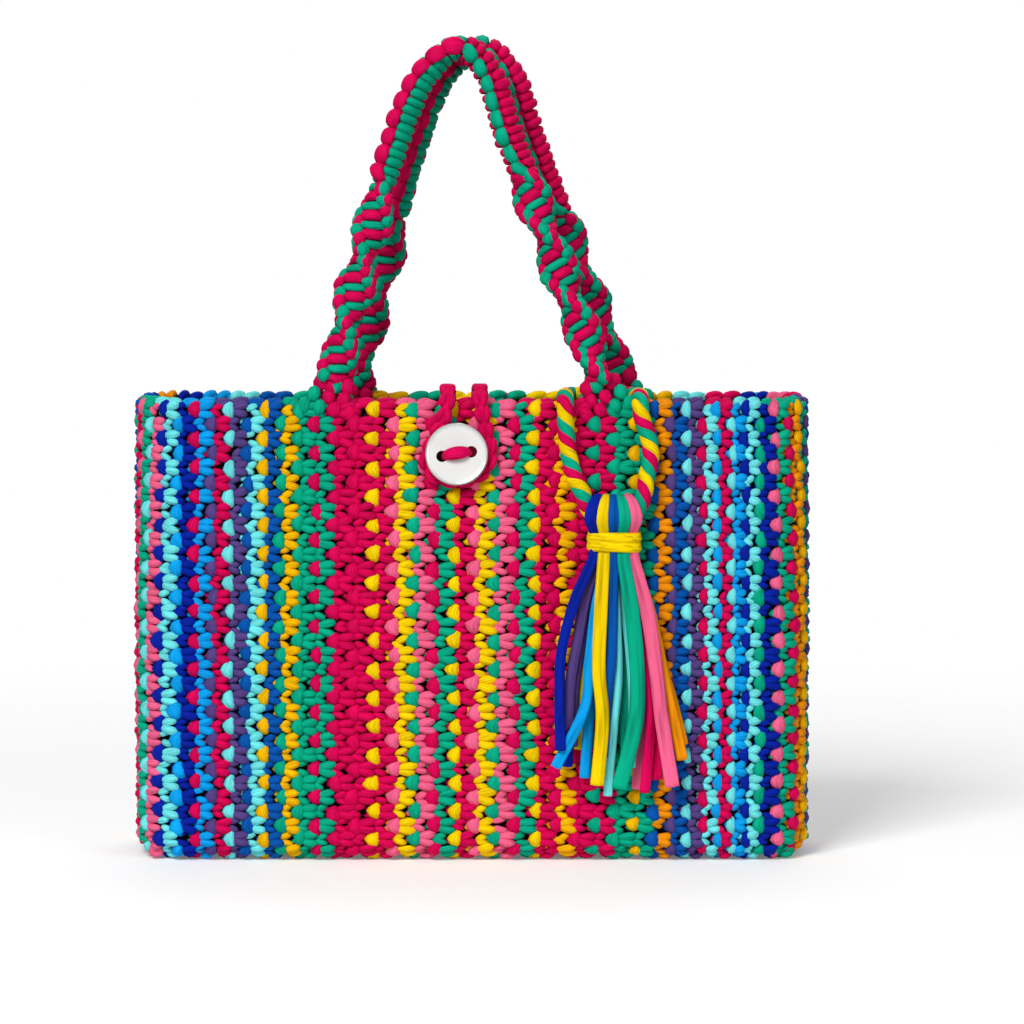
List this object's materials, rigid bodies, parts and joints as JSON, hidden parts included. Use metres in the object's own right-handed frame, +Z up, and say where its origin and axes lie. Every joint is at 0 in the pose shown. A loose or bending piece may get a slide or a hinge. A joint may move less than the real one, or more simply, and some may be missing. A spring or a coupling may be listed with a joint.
{
  "type": "macrame tote bag",
  "caption": "Open-topped tote bag knotted from striped jersey yarn, with spiral-knotted handles, a button with a closing loop, and a hanging tassel.",
  "frame": {"origin": "middle of the base's underside", "axes": "+Z up from the base to the handles, +X across the bag to the tassel's side, front face towards -Y"},
  "size_m": [0.386, 0.1241, 0.4752],
  "materials": {
    "knotted_yarn": "soft jersey yarn in vertical stripes of many colours",
    "handle_yarn": "soft jersey yarn, crimson with green",
    "crimson": "soft jersey yarn",
    "rope_yarn": "twisted jersey yarn, crimson, green and yellow",
    "yellow": "soft jersey yarn",
    "navy": "soft jersey yarn",
    "blue": "soft jersey yarn",
    "green": "soft jersey yarn",
    "pink": "soft jersey yarn",
    "purple": "soft jersey yarn",
    "sky": "soft jersey yarn",
    "aqua": "soft jersey yarn",
    "orange": "soft jersey yarn",
    "button_white": "polished white"
  },
  "bodies": {
    "bag": {"bag_body": "knotted_yarn", "handle_front": "handle_yarn", "handle_back": "handle_yarn", "closing_loop": "crimson", "button": "button_white", "button_tape": "crimson"},
    "tassel": {"tassel_rope": "rope_yarn", "tassel_wrap": "yellow", "tassel_strand_navy": "navy", "tassel_strand_yellow": "yellow", "tassel_strand_blue": "blue", "tassel_strand_green": "green", "tassel_strand_pink": "pink", "tassel_strand_purple": "purple", "tassel_strand_sky": "sky", "tassel_strand_aqua": "aqua", "tassel_strand_crimson": "crimson", "tassel_strand_orange": "orange"}
  },
  "joints": [
    {"name": "tassel_swing", "type": "hinge", "parent": "bag", "child": "tassel", "pos_m": [0.075, -0.0145, 0.267], "axis": [-1, 0, 0], "range_deg": [0, 50]}
  ]
}
